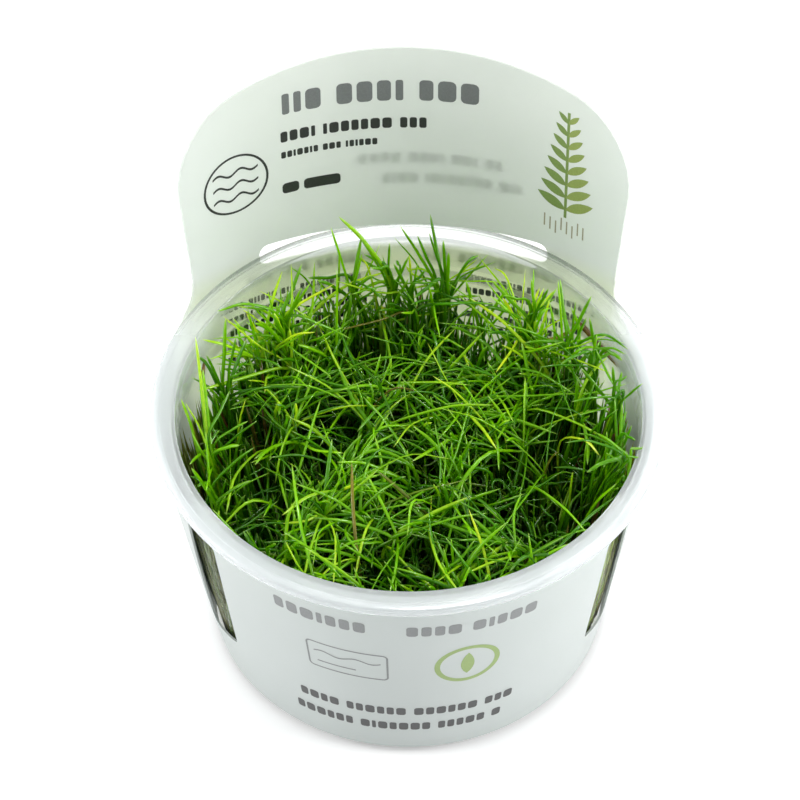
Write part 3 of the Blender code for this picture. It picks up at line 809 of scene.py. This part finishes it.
def bezier(a, b, c, d, steps):
    t = (np.linspace(0, 1, steps) ** 0.85)[:, None]
    return a * (1 - t) ** 3 + 3 * b * t * (1 - t) ** 2 + 3 * c * t * t * (1 - t) + d * t**3


def keep_inside(path, margin=0.0007):
    """Pushes a path off the cup's wall wherever it would pass through it."""
    for p in path:
        if p[2] > RIM + 0.0004:
            continue
        held(p, inside(p[2]) - margin)
    return path


def canopy(x, y):
    """The height of the mound's top, which leans to the front and falls off towards the wall."""
    fall = max(0.0, (math.hypot(x, y) - 0.030) / 0.012) * (1 if y > -0.01 else 0.3)
    return CANOPY - 0.06 * y - 0.0035 * fall


def in_gap(x, y, z=CANOPY):
    """Whether a spot lies in one of the open places of the canopy, which slope back into the pot."""
    back = (CANOPY - z) * 0.8
    return any(math.hypot(x - gx, y - gy - back) < gr for gx, gy, gr in GAPS)


def crosses_gap(path):
    return any(in_gap(*p) for p in path[len(path) // 3:] if p[2] > 0.028)


def vec(*p):
    return np.array(p, float)


def flat(angle):
    return vec(math.cos(angle), math.sin(angle), 0)


def held(spot, radius):
    """Draws a spot in towards the axis where it lies beyond a radius."""
    r = math.hypot(spot[0], spot[1])
    if r > radius:
        spot[:2] *= radius / r
    return spot


def any_turn(dice=rng):
    return dice.uniform(0, math.tau)


def any_way(low, high, dice=rng):
    """A level step of a length between low and high, in any direction."""
    return flat(any_turn(dice)) * dice.uniform(low, high)


def shade(value, spread):
    return min(max(rng.gauss(value, spread), 0.0), 1.0)


def through(points, steps):
    """A smooth path through points, sampled closer near its end."""
    points = np.array(points)
    ends = np.vstack([2 * points[0] - points[1], points, 2 * points[-1] - points[-2]])
    spans = len(points) - 1
    path = []
    for value in np.linspace(0, 1, steps) ** 0.8 * spans:
        k = min(int(value), spans - 1)
        t = value - k
        a, b, c, d = ends[k:k + 4]
        square, cube = 2 * a - 5 * b + 4 * c - d, 3 * b - a - 3 * c + d
        path.append(0.5 * (2 * b + (c - a) * t + square * t * t + cube * t**3))
    return np.array(path)


def plantlet(blades, root, foot, count, outward=None, roof=None):
    """A young plant: a bundle that rises to its crown and fans out there into long thin blades."""
    turn = any_turn()
    deep = canopy(foot[0], foot[1]) - foot[2]
    hue = rng.gauss(0, 0.09)
    for k in range(count):
        heading = turn + math.tau * k / count + rng.gauss(0, 0.45)
        if outward is not None and rng.random() < 0.6:
            heading = outward + rng.gauss(0, 1.0)
        kind = rng.random()
        if kind < 0.48:
            pitch = math.radians(rng.uniform(-6, 26))
        elif kind < 0.80:
            pitch = math.radians(rng.uniform(26, 58))
        else:
            pitch = math.radians(rng.uniform(58, 84))
        length = rng.uniform(0.008, 0.027) * (1.0 if kind < 0.80 else 0.7)
        way = flat(heading) * math.cos(pitch)
        way[2] = math.sin(pitch)
        tip = foot + way * length
        top = canopy(tip[0], tip[1]) + rng.uniform(-0.002, 0.0045) if roof is None else roof
        tip[2] = min(tip[2], top)
        reach = tip.copy()
        tip = held(tip, REACH)
        if math.dist(reach, tip) > 0.35 * length and rng.random() < 0.65:
            continue
        bow = rng.uniform(-0.02, 0.12) * length
        if rng.random() < 0.10:
            bow = rng.uniform(0.18, 0.30) * length
            tip[2] -= 0.12 * length
        middle = foot + (tip - foot) * rng.uniform(0.45, 0.6)
        middle += flat(heading + 1.57) * rng.gauss(0, 0.05) * length
        middle[2] += bow
        waist = root + (foot - root) * 0.55
        path = keep_inside(through([root, waist, foot + vec(0, 0, -0.001), middle, tip], 17))
        if crosses_gap(path) and rng.random() < 0.93:
            continue
        # Painted shade: plants lower in the mound get a darker tint, and blades that rise higher a lighter one
        tint = shade(0.58 + hue - deep * 24 + (tip[2] - foot[2]) * 12, 0.15)
        dead = rng.uniform(0.4, 0.9) if rng.random() < 0.008 else 0.0
        width = rng.triangular(0.00036, 0.00084, 0.00058)
        blades.add(path, width, tint, rng.uniform(-1.0, 1.0), any_turn(), dead, 0.88)


def star(blades, crown, ways):
    """A tall plant whose blades go from its crown to known tips, and a few more between them."""
    crown = vec(*crown) / 1000
    base = held(crown * vec(0.93, 0.93, 0), 0.0355)
    base[2] = GEL
    ways = [vec(*way) / 1000 for way in ways]
    for _ in range(4):
        way = np.append(any_way(0.003, 0.010), rng.uniform(0, 0.0014))
        way[2] = rng.uniform(-0.005, 0.006)
        if crown[1] < 0.020:
            way[:2] = held(crown + way[:3], REACH)[:2] - crown[:2]
        ways.append(way)
    hue = rng.uniform(0.32, 0.48)
    for way in ways:
        tip = crown + way[:3]
        root = base + any_way(0.0008, 0.0066)
        waist = root + (crown - root) * vec(0.6, 0.6, 0.62) + any_way(0, 0.0022)
        start = crown + any_way(0, 0.0017) + way[:3] * 0.04
        start[2] -= rng.uniform(0.0, 0.0100)
        middle = start + (tip - start) * rng.uniform(0.50, 0.58) + vec(0, 0, way[3])
        path = keep_inside(through([root, waist, start, middle, tip], 24), STEM_ROOM)
        width = rng.uniform(0.00054, 0.00086)
        # Painted light: blades whose tips stand higher get a lighter tint
        tint = min(hue + max(way[2], 0) * 16 + rng.uniform(-0.12, 0.14), 0.9)
        blades.add(path, width, tint, rng.uniform(-0.8, 0.8), any_turn(), 0.0, 0.85)
    loose_blades(blades, crown, base)


def loose_blades(blades, crown, base):
    """Blades that rise beside a tall plant without joining its crown."""
    own = random.Random(round(crown[0] * 1e6) * 7 + round(crown[1] * 1e6))
    for _ in range(LOOSE_BLADES):
        root = base + any_way(0.001, 0.007, own)
        tip = held(root + (crown - root) * vec(0.8, 0.8, 0) + any_way(0.003, 0.010, own), 0.0425)
        tip[2] = GEL + (crown[2] - GEL) * own.uniform(0.72, 1.0)
        waist = root + (tip - root) * vec(0.35, 0.35, 0.55) + any_way(0, 0.002, own)
        upper = waist + (tip - waist) * vec(0.42, 0.42, 0.6)
        path = keep_inside(through([root, waist, upper, tip], 16), STEM_ROOM)
        width, tint = own.uniform(0.00046, 0.00078), min(max(own.gauss(0.46, 0.15), 0.08), 0.9)
        blades.add(path, width, tint, own.uniform(-0.8, 0.8), any_turn(own), 0.0, 0.85)


def under_blade(blades, root, out):
    """A shaded blade low in the tuft."""
    tip = held(root * vec(1.06, 1.06, 1) + out * rng.uniform(0.0, 0.010), 0.0425)
    tip[2] = rng.uniform(0.022, 0.028) if in_gap(tip[0], tip[1], 0.034) else rng.uniform(0.028, 0.042)
    bend = root + (tip - root) * vec(0.3, 0.3, 0.7)
    rise = root + (tip - root) * vec(0.05, 0.05, 0.4)
    path = keep_inside(bezier(root, rise, bend, tip, 7))
    width, tint = rng.uniform(0.0006, 0.0011), shade(0.13, 0.11)
    blades.add(path, width, tint, 0.6, any_turn(), 0.3 if rng.random() < 0.1 else 0.0, 0.9)


def curl(blades, spot):
    """A fine short runner low in the pot, hooked at its end."""
    turn = any_turn()
    bend = rng.choice((-1, 1)) * rng.uniform(0.5, 1.5)
    step = rng.uniform(0.0006, 0.0013)
    points = [spot - vec(0, 0, 0.006)]
    here = spot.copy()
    for k in range(5):
        points.append(here.copy())
        here = here + flat(turn + bend * k * 0.6) * step + vec(0, 0, 0.0009 - 0.0005 * k)
    # The dark tint is painted shade low in the pot
    width, tint = rng.uniform(0.00028, 0.00042), shade(0.20, 0.12)
    path = keep_inside(through(points, 10))
    blades.add(path, width, tint, 0.5, any_turn(), 0.25 if rng.random() < 0.2 else 0.0, 0.9)


def stray(blades, spot):
    """A thin shaded blade that lies across an open place."""
    way = any_way(0.004, 0.011)
    way[2] = rng.uniform(-0.001, 0.004)
    root, arch = spot - way * 0.4 - vec(0, 0, 0.010), spot + way * 0.4 + vec(0, 0, 0.0012)
    path = keep_inside(through([root, spot - way * 0.3, arch, spot + way], 12))
    width, tint = rng.uniform(0.00034, 0.00062), shade(0.34, 0.16)
    blades.add(path, width, tint, 0.5, any_turn(), 0.35 if rng.random() < 0.25 else 0.0, 0.9)


def wall_blade(blades, angle, deep=0.0, withered=0.30, low=GEL, pressed=False, rise=0.0):
    """A blade or root along the wall, seen through it; a pressed one lies flat on the wall."""
    z = rng.uniform(0.024 + rise, 0.047 + rise / 2)
    lean = rng.uniform(-0.16, 0.16)
    gap = THIN_WALL + (0.0003 if pressed else 0.0005) + deep
    path = []
    for t in np.linspace(0, 1, 6):
        here, turn = low + (z - low) * t, angle + lean * t
        give = swell(math.remainder(math.pi / 2 - turn, math.tau), here) if pressed else 0.0
        p = flat(turn) * (wall(here) + give - gap)
        p[2] = here
        path.append(p)
    dead = rng.uniform(0.3, 0.9) if rng.random() < withered else 0.0
    path = np.array(path) if pressed else keep_inside(np.array(path), 0.0004)
    roll = angle + rng.uniform(-0.5, 0.5) if pressed else any_turn()
    # Painted shade: blades further in from the wall get a darker tint; pressed ones on the left are painted
    # darkest and those on the right lighter, and both are partly brown as old blades
    tint = shade(0.42 if deep < 0.0025 else 0.24, 0.18)
    if pressed and math.cos(angle) < 0:
        tint, dead = 0.0, rng.uniform(0.25, 0.55)
    elif pressed:
        tint, dead = tint + 0.15, rng.uniform(0.40, 0.70)
    blades.add(path, rng.uniform(0.0007, 0.0013), tint, 0.4, roll, dead, 0.9)


def ledge_blade(blades, points, width):
    """A dead blade that lies along the wall."""
    blades.add(through([vec(*p) / 1000 for p in points], 16), width, 0.3, 0.4, any_turn(), 0.95, 0.8)


def core(blades, x, y):
    """The pressed bases of the blades inside a tuft, dark and close."""
    for _ in range(CORE_BLADES):
        angle = any_turn()
        r = TUFT_RADIUS * math.sqrt(rng.random())
        out = flat(angle) * r
        root = vec(x, y, GEL) + out * 0.6
        tip = vec(x * 1.035, y * 1.035, 0) + out * 1.35
        tip[2] = rng.uniform(0.024, 0.034)
        bends = root + (tip - root) * vec(0.1, 0.1, 0.4), root + (tip - root) * vec(0.5, 0.5, 0.8)
        path = keep_inside(bezier(root, *bends, tip, 6))
        # The dark tint is painted shade deep in the tuft
        width, tint = rng.uniform(0.0013, 0.0022), rng.uniform(0.0, 0.15)
        blades.add(path, width, tint, 0.5, any_turn(), 0.15, 0.9)


# dead blades against the wall, in millimetres, each with its width in metres
DEAD_BLADES = (
    (((31.0, 25.0, 38.0), (33.5, 28.6, 50.3), (37.6, 24.6, 50.3), (42.2, 17.4, 50.2)), 0.0012),
    (((-35.0, 11.0, 36.0), (-38.4, 12.6, 44.0), (-40.8, 14.0, 49.0), (-40.6, 17.6, 52.4)), 0.0010),
    (((36.0, 0.0, 36.0), (38.6, 1.0, 42.0), (40.6, 3.6, 47.4), (39.4, 7.8, 49.6)), 0.0007),
)


def tuft_places():
    """The tufts' middles, spread evenly like the seeds of a sunflower."""
    golden = math.pi * (3 - math.sqrt(5))
    return [(TUFT_SPREAD * math.sqrt((i + 0.5) / TUFTS) * math.cos(i * golden),
             TUFT_SPREAD * math.sqrt((i + 0.5) / TUFTS) * math.sin(i * golden)) for i in range(TUFTS)]


def nearest(places, x, y):
    """The tufts in the order of their distance from a spot."""
    return sorted(range(TUFTS), key=lambda i: math.dist(places[i], (x, y)))


def share_out(places):
    """The tall plants and the dead blades of each tuft; a tuft takes at most 3 tall plants."""
    stars, dead = {i: [] for i in range(TUFTS)}, {i: [] for i in range(TUFTS)}
    for crown, ways in STARS:
        near = nearest(places, crown[0] / 1000, crown[1] / 1000)
        stars[next(i for i in near if len(stars[i]) < 3)].append((crown, ways))
    for points, width in DEAD_BLADES:
        dead[nearest(places, points[0][0] / 1000, points[0][1] / 1000)[0]].append((points, width))
    return stars, dead


def fill_middle(blades, x, y):
    """The plants that make the mound's top, in three layers."""
    for k in range(PLANTLETS):
        angle = any_turn()
        spread = 0.0070 * math.sqrt(rng.random())
        foot = held(vec(x * 1.04, y * 1.04, 0) + flat(angle) * spread, 0.0405)
        if in_gap(foot[0], foot[1]):
            continue
        foot[2] = canopy(foot[0], foot[1]) - (0.003, 0.006, 0.010)[k % 3] - rng.uniform(0, 0.004)
        plantlet(blades, vec(x, y, GEL) + flat(angle) * spread * 0.5, foot, rng.randint(5, 8))


def fill_edge(blades, x, y):
    """The plants of an outer tuft that stand between it and the wall, and the blades along the wall."""
    bearing = math.atan2(y, x)
    count = 4 if y < 0.006 else 12 if abs(x) > 0.016 else 13
    lift = 0.004 if y > 0 else 0.0
    for _ in range(count):
        angle = bearing + rng.uniform(-0.26, 0.26)
        foot = flat(angle) * rng.uniform(0.0320 if y > 0.015 else 0.0345, 0.0405)
        if in_gap(foot[0], foot[1]):
            continue
        foot[2] = CANOPY - 0.002 - rng.uniform(0, 0.009 if y < 0.015 else 0.016) + lift
        root = held(foot * vec(0.92, 0.92, 0), 0.0360)
        root[2] = GEL
        plantlet(blades, root, foot, rng.randint(4, 7), angle, RIM - rng.uniform(0.0, 0.004) + lift * 0.6)
    for _ in range(WALL_BLADES):
        wall_blade(blades, bearing + rng.uniform(-0.28, 0.28), rng.uniform(0, 0.0050))
    tall = y > 0.014
    for _ in range(TALL_DEEP_BLADES if tall else DEEP_BLADES):
        spot = bearing + rng.uniform(-0.30, 0.30)
        wall_blade(blades, spot, rng.uniform(0.0030, 0.0120), 0.15, rise=0.010 if tall else 0.0)


def fill_gaps(blades, places, i):
    """Thin blades in those open places that lie nearest to this tuft."""
    for gx, gy, gr in GAPS:
        if i != nearest(places, gx, gy)[0]:
            continue
        for _ in range(int(gr / 0.00022)):
            z = rng.uniform(0.026, 0.040)
            spot = vec(gx, gy + (CANOPY - z) * 0.6, z) + flat(any_turn()) * gr * rng.random()
            stray(blades, held(spot, LOW_REACH))


def fill_windows(blades, x, y):
    """The blades that lie pressed against the wall behind the sleeve's windows."""
    for side in (-1, 1):
        window = math.radians(90) - side * WINDOW_TURN
        away = math.remainder(window - math.atan2(y, x), math.tau)
        if abs(away) < 0.55:
            for _ in range(WINDOW_BLADES):
                spot = window + side * 0.30 + rng.uniform(-0.58, 0.58)
                wall_blade(blades, spot, rng.uniform(0, 0.0020), 0.55, rng.uniform(0.0018, 0.010), True)


def make_grass(mat):
    places = tuft_places()
    stars, dead = share_out(places)
    for i, (x, y) in enumerate(places):
        blades = Blades()
        outer = math.hypot(x, y) > 0.024
        core(blades, x, y)
        for _ in range(UNDER_BLADES):
            out = flat(any_turn())
            under_blade(blades, vec(x, y, GEL) + out * TUFT_RADIUS * math.sqrt(rng.random()), out)
        fill_middle(blades, x, y)
        if outer:
            fill_edge(blades, x, y)
        if y < -0.008:
            for _ in range(CURLS):
                spot = held(vec(x, y, 0) + flat(any_turn()) * 0.009 * math.sqrt(rng.random()), LOW_REACH)
                spot[2] = CANOPY - rng.uniform(0.004, 0.016)
                curl(blades, spot)
        fill_gaps(blades, places, i)
        for crown, ways in stars[i]:
            star(blades, crown, ways)
        for points, width in dead[i]:
            ledge_blade(blades, points, width)
        if outer:
            fill_windows(blades, x, y)
        name = f"blades_{i + 1:02d}"
        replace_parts(place(name, blades.mesh(name), mat), f"tuft_{i + 1:02d}")


# ---- stage, light and camera


def make_stage():
    mesh = bpy.data.meshes.new("floor")
    mesh.from_pydata([(-3, -3, 0), (3, -3, 0), (3, 3, 0), (-3, 3, 0)], [], [(0, 1, 2, 3)])
    mesh.materials.append(floor_material())
    floor = linked("floor", mesh)
    floor.location.z = -0.0002


def lamp(name, spot, size, power):
    """A round soft lamp that points at the pot."""
    data = bpy.data.lights.new(name, "AREA")
    data.shape = "DISK"
    data.size = size
    data.energy = power
    obj = linked(name, data)
    obj.location = spot
    obj.rotation_euler = (Vector((0, 0, 0.04)) - Vector(spot)).to_track_quat("-Z", "Y").to_euler()


def make_light():
    world = bpy.data.worlds.new("studio")
    bpy.context.scene.world = world
    world.use_nodes = True
    back = world.node_tree.nodes["Background"]
    back.inputs["Color"].default_value = (0.97, 0.99, 1.0, 1.0)
    look = Look(world.node_tree)
    depth = look.add("SeparateXYZ", {0: look.add("TexCoord", out="Generated")}, "Y")
    world.node_tree.links.new(look.span(depth, -0.8, 0.6, 0.40, 0.66), back.inputs["Strength"])
    lamp("right", (0.75, -0.10, 0.30), 0.40, 4.3)
    lamp("left", (-0.75, -0.02, 0.30), 0.40, 3.5)
    lamp("top", (0.05, 0.24, 0.78), 0.17, 2.3)


def make_camera():
    data = bpy.data.cameras.new("camera")
    data.sensor_width = 36.0
    data.lens = 139.68
    data.shift_x = -0.0107
    data.shift_y = 0.0056
    data.clip_start = 0.01
    camera = linked("camera", data)
    camera.location = (0.0, -0.39364, 0.51197)
    camera.rotation_euler = (math.radians(41.0), 0.0, 0.0)
    bpy.context.scene.camera = camera


make_camera()
make_stage()
make_light()
make_cup(clear_plastic())
make_sleeve(white_sheet())
make_print()
make_grass(grass_material())
gel_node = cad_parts["growth_medium"]
gel_node.data.materials.clear()
gel_node.data.materials.append(gel_material())
bpy.context.scene.view_settings.view_transform = "Standard"
